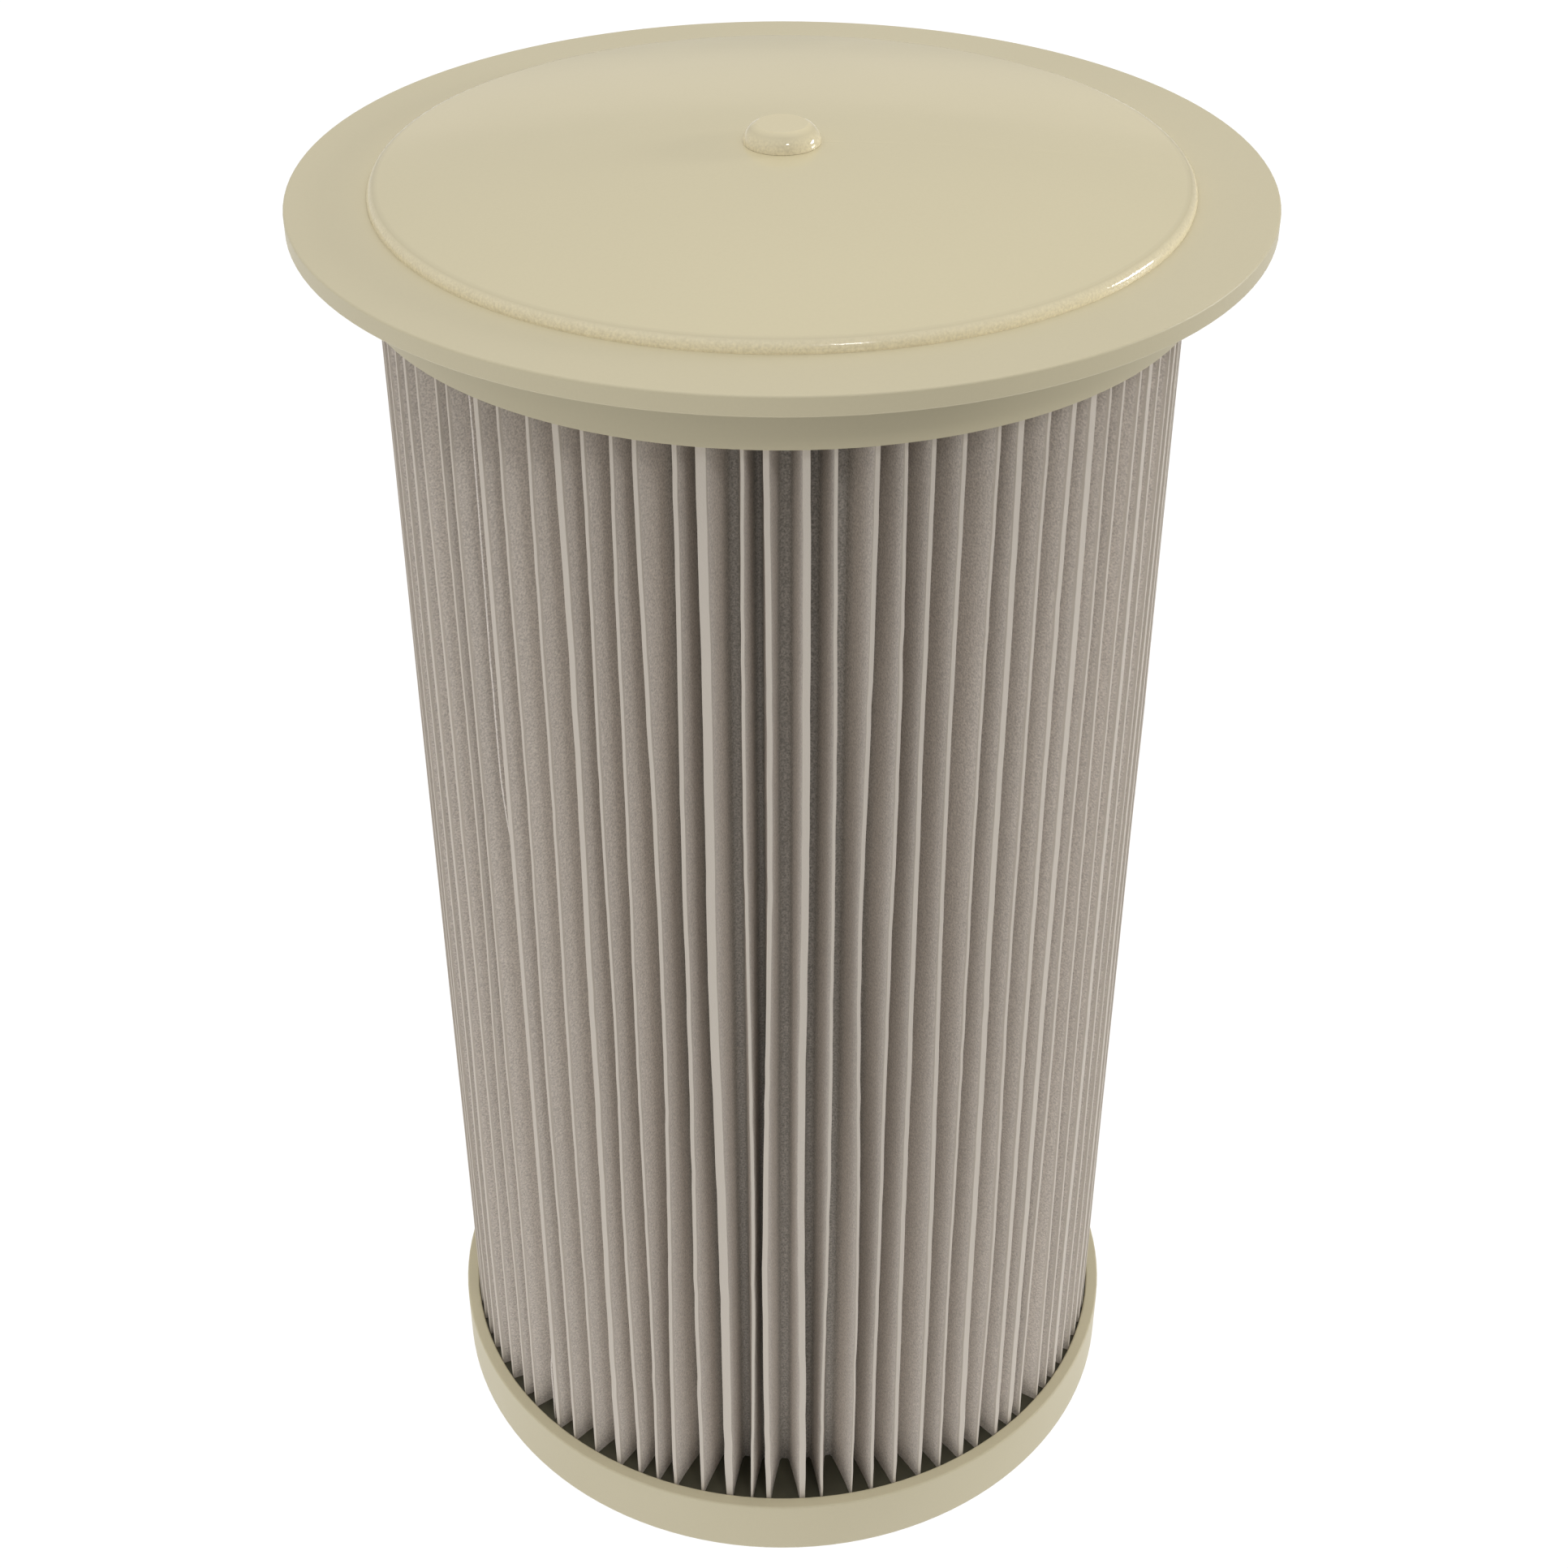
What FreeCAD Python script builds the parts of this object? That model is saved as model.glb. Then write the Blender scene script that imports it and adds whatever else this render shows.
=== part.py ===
"""A flanged, pleated filter cartridge for pools and spas, in millimetres.

The origin is at the centre of the bottom cap's underside and +Z runs up the cartridge's axis.
Every driving size is a cell of the sheet, and every sub-part is bound to those cells.
"""
import FreeCAD, Part
import math
import os

import Sketcher

DRIVING_SIZES = {
    # outside
    "flange_radius": 76.0,
    "flange_thickness": 3.1,
    "flange_top_height": 247.5,
    "skirt_radius": 66.25,
    "skirt_wall": 2.5,
    "skirt_depth": 9.65,
    "cap_radius": 66.0,
    "cap_wall": 2.4,
    "cap_height": 12.35,
    "cap_floor": 3.0,
    # pleated media
    "pleat_count": 88.0,
    "pleat_radius": 63.5,
    "pleat_tip_width": 1.0,
    "valley_centre_radius": 54.2,
    "valley_bend_radius": 1.0,
    "media_thickness": 0.4,
    "media_embedding": 2.0,
    "seam_azimuth": -43.6,
    # core
    "core_radius": 51.8,
    "core_wall": 2.8,
    "core_section_count": 3.0,
    "window_width": 9.0,
    "window_height": 7.0,
    "window_pitch": 11.0,
    "window_rows": 6.0,
    "window_columns": 20.0,
    "coupler_wall": 1.9,
    "coupler_height": 16.0,
    "net_thickness": 0.6,
    "slip_clearance": 0.1,
    "spigot_wall": 2.5,
    "spigot_height": 7.5,
    # potting
    "bottom_potting_depth": 8.3,
    "top_potting_depth": 8.0,
    # cover plate and plug
    "plate_radius": 63.5,
    "plate_edge_height": 1.7,
    "plate_rise": 5.7,
    "plate_edge_rounding": 1.6,
    "plate_wall": 2.0,
    "plate_land_radius": 56.0,
    "plate_boss_radius": 8.0,
    "tongue_radius": 60.1,
    "tongue_width": 1.8,
    "tongue_depth": 1.1,
    "plug_radius": 6.0,
    "plug_flat_radius": 3.95,
    "plug_height": 2.9,
    "plug_stem_radius": 2.5,
    "plug_stem_length": 13.6,
    "plug_boss_radius": 6.0,
    "plug_boss_height": 9.5,
    "cap_rib_count": 6.0,
    "cap_rib_thickness": 2.0,
    "cap_rib_height": 4.5,
    # seals and outlet
    "flange_seal_radius": 73.0,
    "flange_seal_width": 4.5,
    "flange_seal_thickness": 2.0,
    "flange_seal_groove": 1.2,
    "outlet_radius": 27.0,
    "collar_wall": 3.0,
    "collar_height": 22.0,
    "collar_shoulder": 3.5,
    "collar_shoulder_height": 2.0,
    "lead_in": 0.8,
    "outlet_seal_radius": 40.0,
    "outlet_seal_width": 6.0,
    "outlet_seal_thickness": 1.5,
    # small edge breaks
    "edge_break": 0.35,
    "cap_edge_radius": 0.8,
}


class Size:
    """A length that carries both its number and the text that binds it to the sheet."""

    def __init__(self, value, text):
        self.value = value
        self.text = text

    def _joined(self, other, sign, value):
        right = other.text if isinstance(other, Size) else repr(float(other))
        return Size(value, f"({self.text} {sign} {right})")

    def __add__(self, other):
        return self._joined(other, "+", self.value + number(other))

    def __sub__(self, other):
        return self._joined(other, "-", self.value - number(other))

    def __mul__(self, other):
        return self._joined(other, "*", self.value * number(other))

    def __truediv__(self, other):
        return self._joined(other, "/", self.value / number(other))


def number(size):
    """The plain number of a Size or of a number."""
    return size.value if isinstance(size, Size) else float(size)


doc = FreeCAD.newDocument("filter_cartridge")
sheet = doc.addObject("Spreadsheet::Sheet", "Sheet")
for row, (alias, value) in enumerate(DRIVING_SIZES.items(), start=1):
    sheet.set(f"A{row}", alias)
    sheet.set(f"B{row}", str(value))
    sheet.setAlias(f"B{row}", alias)
doc.recompute()


def size(alias):
    """The sheet's cell with this alias, as a Size."""
    return Size(float(sheet.get(alias)), f"Sheet.{alias}")


ZERO = size("cap_floor") * 0.0
HALF_TURN = 180.0
FULL_TURN = 360.0

# Levels that several sub-parts share.
flange_under = size("flange_top_height") - size("flange_thickness")
skirt_bottom = flange_under - size("skirt_depth")
core_inner = size("core_radius") - size("core_wall")
core_length = flange_under - size("cap_floor")
section_length = core_length / size("core_section_count")
spigot_radius = core_inner - size("slip_clearance")
media_bottom = size("cap_floor") + size("media_embedding")
media_height = core_length - size("media_embedding") * 2.0
net_inner = size("core_radius") + size("slip_clearance")
dome_radius = (size("plate_radius") * size("plate_radius") / (size("plate_rise") - size("plate_edge_height"))
               + size("plate_rise") - size("plate_edge_height")) / 2.0

sub_parts = []


def new_body(name, height):
    """An empty body with its own label, standing at this height on the axis."""
    body = doc.addObject("PartDesign::Body", name)
    body.Label = name
    body.setExpression("Placement.Base.z", height.text)
    sub_parts.append(body)
    return body


def origin_plane(body, role):
    """One of the body's own origin planes."""
    return next(f for f in body.Origin.OriginFeatures if f.Role == role)


def new_sketch(body, name, role="XZ_Plane"):
    """An empty sketch on one of the body's origin planes."""
    sketch = body.newObject("Sketcher::SketchObject", name)
    sketch.AttachmentSupport = [(origin_plane(body, role), "")]
    sketch.MapMode = "FlatFace"
    return sketch


def pin_point(sketch, edge, across, up):
    """Fixes the start of an edge at (across, up) from the sketch's origin, bound to the sheet."""
    for kind, place in (("DistanceX", across), ("DistanceY", up)):
        at = sketch.addConstraint(Sketcher.Constraint(kind, -1, 1, edge, 1, place.value))
        sketch.setExpression(f"Constraints[{at}]", place.text)


def draw_outline(sketch, corners):
    """Draws a closed outline. A corner is (across, up), or (across, up, radius) where an arc of that
    radius, bulging away from the axis, runs on to the next corner."""
    spots = [FreeCAD.Vector(corner[0].value, corner[1].value, 0) for corner in corners]
    edges = []
    for index, corner in enumerate(corners):
        start, end = spots[index], spots[(index + 1) % len(spots)]
        if len(corner) == 2:
            edges.append(sketch.addGeometry(Part.LineSegment(start, end), False))
            continue
        chord = end - start
        outward = FreeCAD.Vector(chord.y, -chord.x, 0).normalize()
        half = chord.Length / 2.0
        sagitta = corner[2].value - math.sqrt(corner[2].value ** 2 - half ** 2)
        edges.append(sketch.addGeometry(Part.Arc(start, (start + end) / 2.0 + outward * sagitta, end), False))
        at = sketch.addConstraint(Sketcher.Constraint("Radius", edges[-1], corner[2].value))
        sketch.setExpression(f"Constraints[{at}]", corner[2].text)
    for index, edge in enumerate(edges):
        following = edges[(index + 1) % len(edges)]
        sketch.addConstraint(Sketcher.Constraint("Coincident", edge, 2, following, 1))
        pin_point(sketch, edge, corners[index][0], corners[index][1])


def turned(body, name, corners, kind="PartDesign::Revolution"):
    """A full turn of an outline about the axis: a Revolution adds, a Groove cuts."""
    sketch = new_sketch(body, name + "_outline")
    draw_outline(sketch, corners)
    feature = body.newObject(kind, name)
    feature.Profile = sketch
    feature.ReferenceAxis = (sketch, ["V_Axis"])
    feature.Angle = FULL_TURN
    return feature


def ring_outline(outer, width, low, high):
    """The rectangular section of a flat ring."""
    inner = outer - width
    return [(inner, low), (outer, low), (outer, high), (inner, high)]


def round_rims(body, name, feature, radius, rims):
    """Fillets the circular edges at these (radius, height) pairs, in the body's own frame."""
    doc.recompute()
    found = []
    for index, edge in enumerate(feature.Shape.Edges, start=1):
        if not isinstance(edge.Curve, Part.Circle):
            continue
        centre, reach = edge.Curve.Center, edge.Curve.Radius
        for across, up in rims:
            if abs(reach - across.value) < 0.01 and abs(centre.z - up.value) < 0.01:
                found.append(f"Edge{index}")
    if len(found) < len(rims):
        raise RuntimeError(f"{name}: found {len(found)} of {len(rims)} rims")
    fillet = body.newObject("PartDesign::Fillet", name)
    fillet.Base = (feature, found)
    fillet.setExpression("Radius", radius.text)
    return fillet


def repeated_round_axis(body, name, feature, count, angle):
    """A polar pattern about the cartridge's axis. An angle short of a full turn runs from the first
    feature to the last."""
    pattern = body.newObject("PartDesign::PolarPattern", name)
    pattern.Originals = [feature]
    pattern.Axis = (origin_axis(body), [""])
    pattern.Angle = angle
    pattern.setExpression("Occurrences", count.text)
    body.Tip = pattern


def origin_axis(body):
    """The body's own Z axis."""
    return next(f for f in body.Origin.OriginFeatures if f.Role == "Z_Axis")


def flat_ring(name, outer, width, thickness, height):
    """A plain ring of rectangular section."""
    body = new_body(name, height)
    turned(body, name + "_ring", ring_outline(outer, width, ZERO, thickness))
    return body


def bottom_end_cap():
    """The cup that closes the bottom: rim, floor, a dam that locates the core, and a seal groove."""
    body = new_body("bottom_end_cap", ZERO)
    floor, seat = size("cap_floor"), size("outlet_radius") + size("collar_wall")
    rim_inner = size("cap_radius") - size("cap_wall")
    dam_inner, dam_top = spigot_radius - size("spigot_wall"), floor + size("spigot_height")
    turned(body, "cup", [
        (seat, ZERO), (size("cap_radius"), ZERO), (size("cap_radius"), size("cap_height")),
        (rim_inner, size("cap_height")), (rim_inner, floor), (spigot_radius, floor),
        (spigot_radius, dam_top), (dam_inner, dam_top), (dam_inner, floor), (seat, floor)])
    groove = turned(body, "outlet_seal_groove", ring_outline(
        size("outlet_seal_radius"), size("outlet_seal_width"), ZERO, size("outlet_seal_thickness")),
        "PartDesign::Groove")
    bottom = round_rims(body, "cup_bottom_edge", groove, size("cap_edge_radius"), [(size("cap_radius"), ZERO)])
    round_rims(body, "cup_rim_edges", bottom, size("edge_break"),
               [(size("cap_radius"), size("cap_height")), (rim_inner, size("cap_height"))])


def outlet_collar():
    """The rigid sleeve in the bottom cap that slides over the housing's outlet pipe."""
    body = new_body("outlet_collar", ZERO)
    inner, outer = size("outlet_radius"), size("outlet_radius") + size("collar_wall")
    mouth, top = inner + size("lead_in"), size("collar_height")
    shoulder, low = outer + size("collar_shoulder"), size("cap_floor")
    high = low + size("collar_shoulder_height")
    turned(body, "collar", [
        (mouth, ZERO), (outer, ZERO), (outer, low), (shoulder, low), (shoulder, high), (outer, high),
        (outer, top), (mouth, top), (inner, top - size("lead_in")), (inner, ZERO + size("lead_in"))])


def core_section(name, height):
    """One moulded length of the core: a tube with rows of rectangular windows."""
    body = new_body(name, height)
    turned(body, "tube", ring_outline(size("core_radius"), size("core_wall"), ZERO, section_length))
    doc.recompute()
    sketch = new_sketch(body, "window_column")
    rows = int(size("window_rows").value)
    half_width = size("window_width") / 2.0
    first = (section_length - size("window_pitch") * (rows - 1)) / 2.0
    for row in range(rows):
        low = first + size("window_pitch") * row - size("window_height") / 2.0
        high = low + size("window_height")
        draw_outline(sketch, [(ZERO - half_width, low), (half_width, low),
                              (half_width, high), (ZERO - half_width, high)])
    windows = body.newObject("PartDesign::Pocket", "windows")
    windows.Profile = sketch
    windows.Type = "ThroughAll"
    windows.Midplane = True
    doc.recompute()
    pairs = size("window_columns") / 2.0
    repeated_round_axis(body, "window_ring", windows, pairs, HALF_TURN - HALF_TURN / pairs.value)


def top_end_cap():
    """The flange with its skirt, the spigot that centres the core, a plug socket and radial ribs."""
    body = new_body("top_end_cap", skirt_bottom)
    under, top = size("skirt_depth"), size("skirt_depth") + size("flange_thickness")
    skirt_inner = size("skirt_radius") - size("skirt_wall")
    spigot_inner, spigot_end = spigot_radius - size("spigot_wall"), under - size("spigot_height")
    boss, boss_end = size("plug_boss_radius"), under - size("plug_boss_height")
    socket = size("plug_stem_radius") + size("slip_clearance")
    socket_end = top + size("plate_rise") - size("plug_stem_length") - size("slip_clearance")
    disc = turned(body, "flange_and_skirt", [
        (ZERO, boss_end), (boss, boss_end), (boss, under), (spigot_inner, under),
        (spigot_inner, spigot_end), (spigot_radius, spigot_end), (spigot_radius, under),
        (skirt_inner, under), (skirt_inner, ZERO), (size("skirt_radius"), ZERO),
        (size("skirt_radius"), under), (size("flange_radius"), under), (size("flange_radius"), top),
        (socket, top), (socket, socket_end), (ZERO, socket_end)])
    round_under = round_rims(body, "skirt_corner", disc, size("cap_edge_radius"), [(size("skirt_radius"), under)])
    round_rims(body, "flange_rim_edges", round_under, size("edge_break"),
               [(size("flange_radius"), under), (size("flange_radius"), top)])
    tongue_outer = size("tongue_radius") + size("slip_clearance")
    tongue_width = size("tongue_width") + size("slip_clearance") * 2.0
    turned(body, "tongue_groove", ring_outline(
        tongue_outer, tongue_width, top - size("tongue_depth") - size("slip_clearance"), top),
        "PartDesign::Groove")
    turned(body, "flange_seal_groove", ring_outline(
        size("flange_seal_radius"), size("flange_seal_width"), under, under + size("flange_seal_groove")),
        "PartDesign::Groove")
    doc.recompute()
    sketch = new_sketch(body, "rib_side")
    rib_low = under - size("cap_rib_height")
    start, end = boss - size("edge_break"), spigot_inner + size("edge_break")
    draw_outline(sketch, [(start, rib_low), (end, rib_low), (end, under), (start, under)])
    rib = body.newObject("PartDesign::Pad", "rib")
    rib.Profile = sketch
    rib.Midplane = True
    rib.setExpression("Length", size("cap_rib_thickness").text)
    doc.recompute()
    repeated_round_axis(body, "ribs", rib, size("cap_rib_count"), FULL_TURN)


def cover_plate():
    """The shallow-domed plate on the flange: a shell with a centre boss and a locating tongue."""
    body = new_body("cover_plate", size("flange_top_height"))
    edge_top, centre_top = size("plate_edge_height"), size("plate_rise")
    hole = size("plug_stem_radius") + size("slip_clearance")
    land, boss = size("plate_land_radius"), size("plate_boss_radius")
    ceiling = centre_top - size("plate_wall")
    tongue_inner = size("tongue_radius") - size("tongue_width")
    tongue_end = ZERO - size("tongue_depth")
    crown = centre_top - hole * hole / (dome_radius * 2.0)
    shell = turned(body, "shell", [
        (hole, ZERO), (boss, ZERO), (boss, ceiling), (land, ZERO + size("edge_break")), (land, ZERO),
        (tongue_inner, ZERO), (tongue_inner, tongue_end), (size("tongue_radius"), tongue_end),
        (size("tongue_radius"), ZERO), (size("plate_radius"), ZERO),
        (size("plate_radius"), edge_top, dome_radius), (hole, crown)])
    round_rims(body, "plate_edge", shell, size("plate_edge_rounding"), [(size("plate_radius"), edge_top)])


def centre_plug():
    """The round-shouldered plug pressed into the middle of the cover plate."""
    body = new_body("centre_plug", size("flange_top_height") + size("plate_rise"))
    stem, end = size("plug_stem_radius"), ZERO - size("plug_stem_length")
    inset = size("plug_radius") - size("plug_flat_radius")
    shoulder = (inset * inset + size("plug_height") * size("plug_height")) / (inset * 2.0)
    turned(body, "plug", [
        (ZERO, end), (stem - size("lead_in"), end), (stem, end + size("lead_in")), (stem, ZERO),
        (size("plug_radius"), ZERO, shoulder), (size("plug_flat_radius"), size("plug_height")),
        (ZERO, size("plug_height"))])


def polar(radius, angle):
    """A point at this radius and angle, in degrees, in the plane across the axis."""
    return FreeCAD.Vector(radius * math.cos(math.radians(angle)), radius * math.sin(math.radians(angle)), 0)


def pleat_contour(depth):
    """The closed outline of the pleated sheet's outer face, or of the face this depth behind it."""
    count = int(size("pleat_count").value)
    pitch = FULL_TURN / count
    tip = size("pleat_radius").value - depth
    half_tip = size("pleat_tip_width").value / 2.0 - depth
    bend = size("valley_bend_radius").value + depth
    centre_radius = size("valley_centre_radius").value
    edges = []
    for pleat in range(count):
        angle = pleat * pitch
        across = polar(1.0, angle + 90.0)
        left, right = polar(tip, angle) - across * half_tip, polar(tip, angle) + across * half_tip
        valley_angle = angle + pitch / 2.0
        centre = polar(centre_radius, valley_angle)
        beside = polar(bend, valley_angle + 90.0)
        near, far = centre - beside, centre + beside
        bottom = centre - polar(bend, valley_angle)
        following = polar(tip, angle + pitch) - polar(half_tip, angle + pitch + 90.0)
        edges.append(Part.makeLine(left, right))
        edges.append(Part.makeLine(right, near))
        edges.append(Part.Arc(near, bottom, far).toShape())
        edges.append(Part.makeLine(far, following))
    return Part.Wire(edges)


def pleated_media():
    """The pleated sheet of filter cloth: one closed corrugated wall, a pleat at the seam's azimuth."""
    outer, inner = pleat_contour(0.0), pleat_contour(size("media_thickness").value)
    section = Part.makeFace([outer, inner], "Part::FaceMakerBullseye")
    wall = section.extrude(FreeCAD.Vector(0, 0, media_height.value))
    media = doc.addObject("Part::Feature", "pleated_media")
    media.Label = "pleated_media"
    media.Shape = wall
    turn = FreeCAD.Rotation(FreeCAD.Vector(0, 0, 1), size("seam_azimuth").value - 90.0)
    media.Placement = FreeCAD.Placement(FreeCAD.Vector(0, 0, media_bottom.value), turn)
    sub_parts.append(media)
    return media


def media_seam():
    """The bonding strip that fills the inside of one pleat, where the sheet's two ends meet."""
    body = new_body("media_seam", media_bottom)
    body.setExpression("Placement.Rotation.Angle", (size("seam_azimuth") - 90.0).text)
    body.Placement.Rotation.Axis = FreeCAD.Vector(0, 0, 1)
    sketch = new_sketch(body, "seam_section", "XY_Plane")
    outer = size("pleat_radius") - size("media_thickness") - size("slip_clearance")
    inner = size("valley_centre_radius") + size("slip_clearance")
    thin = size("pleat_tip_width") / 2.0 - size("media_thickness") - size("slip_clearance") / 5.0
    thick = thin * 4.0
    draw_outline(sketch, [(outer, ZERO - thin), (outer, thin), (inner, thick), (inner, ZERO - thick)])
    strip = body.newObject("PartDesign::Pad", "strip")
    strip.Profile = sketch
    strip.setExpression("Length", media_height.text)


def cylinder(name, radius, length, height):
    """A plain cylinder on the axis, for the potting booleans."""
    shape = doc.addObject("Part::Cylinder", name)
    shape.setExpression("Radius", radius.text)
    shape.setExpression("Height", length.text)
    shape.setExpression("Placement.Base.z", height.text)
    return shape


def cut(name, base, tool):
    """Base minus tool."""
    result = doc.addObject("Part::Cut", name)
    result.Base = base
    result.Tool = tool
    return result


def potting(name, outer, depth, height, media, net):
    """A cast ring that fills a cap round the core and holds the ends of the pleats and the net."""
    disc = cylinder(name + "_disc", outer, depth, height)
    middle = cylinder(name + "_middle", size("core_radius"), depth, height)
    ring = cut(name + "_ring", disc, middle)
    slotted = cut(name + "_slotted", ring, net)
    result = cut(name, slotted, media)
    result.Label = name
    sub_parts.append(result)


bottom_end_cap()
outlet_collar()
flat_ring("outlet_seal", size("outlet_seal_radius"), size("outlet_seal_width"),
          size("outlet_seal_thickness"), ZERO)
section_names = ("core_section_lower", "core_section_middle", "core_section_upper")
for place, section_name in enumerate(section_names):
    core_section(section_name, size("cap_floor") + section_length * place)
for place, coupler_name in enumerate(("core_coupler_lower", "core_coupler_upper"), start=1):
    joint_height = size("cap_floor") + section_length * place
    flat_ring(coupler_name, spigot_radius, size("coupler_wall"), size("coupler_height"),
              joint_height - size("coupler_height") / 2.0)
support_net = flat_ring("support_net", net_inner + size("net_thickness"), size("net_thickness"),
                        core_length - size("edge_break") * 2.0, size("cap_floor") + size("edge_break"))
media_node = pleated_media()
media_seam()
doc.recompute()
potting("bottom_potting", size("cap_radius") - size("cap_wall"), size("bottom_potting_depth"),
        size("cap_floor"), media_node, support_net)
potting("top_potting", size("skirt_radius") - size("skirt_wall"), size("top_potting_depth"),
        flange_under - size("top_potting_depth"), media_node, support_net)
top_end_cap()
flat_ring("flange_seal", size("flange_seal_radius"), size("flange_seal_width"),
          size("flange_seal_thickness"), flange_under + size("flange_seal_groove") - size("flange_seal_thickness"))
cover_plate()
centre_plug()
doc.recompute()

for item in doc.Objects:
    if "Invalid" in item.State or "Error" in item.State:
        raise RuntimeError(f"{item.Name} failed: {item.State}")
os.makedirs("parts", exist_ok=True)
for sub_part in sub_parts:
    if sub_part.Shape.isNull() or not sub_part.Shape.isValid():
        raise RuntimeError(f"{sub_part.Label} has no valid shape")
    sub_part.Shape.exportStep(f"parts/{sub_part.Label}.step")
    print(f"{sub_part.Label}: {len(sub_part.Shape.Solids)} solid, {sub_part.Shape.Volume:.0f} mm3")
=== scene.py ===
"""The looks of a pleated filter cartridge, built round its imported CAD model.

Everything is in metres in the row's frame: the origin is at the centre of the bottom cap's underside,
and +Z runs up the cartridge's axis.
"""
import math

import bpy
import numpy as np
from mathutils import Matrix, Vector


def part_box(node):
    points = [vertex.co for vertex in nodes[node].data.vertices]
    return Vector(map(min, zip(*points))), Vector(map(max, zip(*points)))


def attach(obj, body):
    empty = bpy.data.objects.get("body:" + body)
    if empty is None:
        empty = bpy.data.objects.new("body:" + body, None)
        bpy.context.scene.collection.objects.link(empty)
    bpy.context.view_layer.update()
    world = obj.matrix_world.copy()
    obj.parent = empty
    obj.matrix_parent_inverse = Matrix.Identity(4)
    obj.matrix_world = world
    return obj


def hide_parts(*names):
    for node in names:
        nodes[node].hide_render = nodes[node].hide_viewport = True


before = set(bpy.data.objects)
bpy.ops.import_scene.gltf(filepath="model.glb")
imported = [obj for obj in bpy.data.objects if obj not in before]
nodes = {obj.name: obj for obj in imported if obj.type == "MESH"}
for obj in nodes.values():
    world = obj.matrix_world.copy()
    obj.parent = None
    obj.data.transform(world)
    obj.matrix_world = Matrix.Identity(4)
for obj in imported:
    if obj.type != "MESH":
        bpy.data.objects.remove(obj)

MM = 0.001
FULL_TURN = 2.0 * math.pi
BODY = "root"

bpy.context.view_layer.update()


# ---------------------------------------------------------------- sizes read from the frame

def radius_of(node):
    """The outer radius of a node that is round about the axis."""
    low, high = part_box(node)
    return max(high.x, high.y, -low.x, -low.y)


cloth_low, cloth_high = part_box("pleated_media")
seam_low, seam_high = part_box("media_seam")
net_low, net_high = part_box("support_net")

FLANGE_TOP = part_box("top_end_cap")[1].z
FLANGE_RADIUS = radius_of("top_end_cap")
PLATE_RADIUS = radius_of("cover_plate")
PLUG_RADIUS = radius_of("centre_plug")
TIP_RADIUS = radius_of("pleated_media")
PLEAT_DEPTH = 9.6 * MM
ROOT_RADIUS = TIP_RADIUS - PLEAT_DEPTH
SEAM_ANGLE = math.atan2((seam_low.y + seam_high.y) / 2.0, (seam_low.x + seam_high.x) / 2.0)


# ---------------------------------------------------------------- small helpers

def new_object(name, points, faces, smooth=True):
    """A mesh object in the row's frame."""
    mesh = bpy.data.meshes.new(name)
    mesh.from_pydata([tuple(p) for p in points], [], faces)
    mesh.validate()
    mesh.update()
    if smooth:
        mesh.polygons.foreach_set("use_smooth", np.ones(len(mesh.polygons), bool))
    piece = bpy.data.objects.new(name, mesh)
    bpy.context.scene.collection.objects.link(piece)
    return piece


def mark_sharp(piece, degrees):
    """Edges that turn by more than this stay crisp under smooth shading."""
    piece.data.set_sharp_from_angle(angle=math.radians(degrees))


def stands_for(piece, material, slot, *replaced):
    """Gives a piece its material, puts it on the body and hides the CAD nodes it stands for. The slot is not
    used.
    """
    piece.data.materials.clear()
    piece.data.materials.append(material)
    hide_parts(*replaced)
    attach(piece, BODY)


def lathe(name, profile, steps):
    """Turns a closed profile of (radius, height) points about the axis."""
    points, rings = [], []
    for radius, height in profile:
        rings.append(list(range(len(points), len(points) + steps)))
        for step in range(steps):
            angle = FULL_TURN * step / steps
            points.append((radius * math.cos(angle), radius * math.sin(angle), height))
    faces = []
    for index, ring in enumerate(rings):
        following = rings[(index + 1) % len(rings)]
        for step in range(steps):
            ahead = (step + 1) % steps
            faces.append([ring[step], ring[ahead], following[ahead], following[step]])
    return new_object(name, points, faces)


# ---------------------------------------------------------------- materials

# Colours are linear red, green and blue.
SPECKLE_SHADE = 0.72
# The rounded edges of the plate and the plug carry painted shade and painted light. From the first distance
# inside the rim, the colour darkens to the edge colour below, which is a painted-shade ring. From the second
# distance, it turns to a pale, coarse speckle of the grain colours, which is painted light that brightens the
# base of the edge.
EDGE_PAINTED_SHADE_START = 1.9 * MM
EDGE_PAINTED_LIGHT_START = 1.0 * MM
EDGE_PAINTED_LIGHT_PALE = (0.97, 0.87, 0.61)
EDGE_PAINTED_LIGHT_DEEP = (0.81, 0.72, 0.50)
PLATE_EDGE_PAINTED_SHADE = (0.600, 0.530, 0.347)
PLUG_EDGE_PAINTED_SHADE = (0.670, 0.592, 0.392)
CREAM = (0.620, 0.556, 0.378)
CREAM_DEEP = (0.590, 0.526, 0.353)
PLATE_CREAM = (0.672, 0.597, 0.393)
PLATE_CREAM_DEEP = (0.652, 0.579, 0.378)
PLUG_CREAM = (0.73, 0.643, 0.42)
PLUG_CREAM_DEEP = (0.71, 0.625, 0.405)
CORE_WHITE = (0.62, 0.60, 0.54)
CORE_WHITE_DEEP = (0.58, 0.56, 0.50)
NET_WHITE = (0.62, 0.62, 0.59)
NET_WHITE_DEEP = (0.56, 0.56, 0.53)
ADHESIVE = (0.70, 0.68, 0.62)
ADHESIVE_DEEP = (0.64, 0.62, 0.56)
CLOTH_PALE = (0.88, 0.81, 0.735)
CLOTH_STREAK = (0.84, 0.775, 0.70)
CLOTH_FLECK = (0.57, 0.52, 0.47)
# A darker, even colour towards the fold tips:
CLOTH_TIP_DARK = (0.645, 0.585, 0.51)
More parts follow.
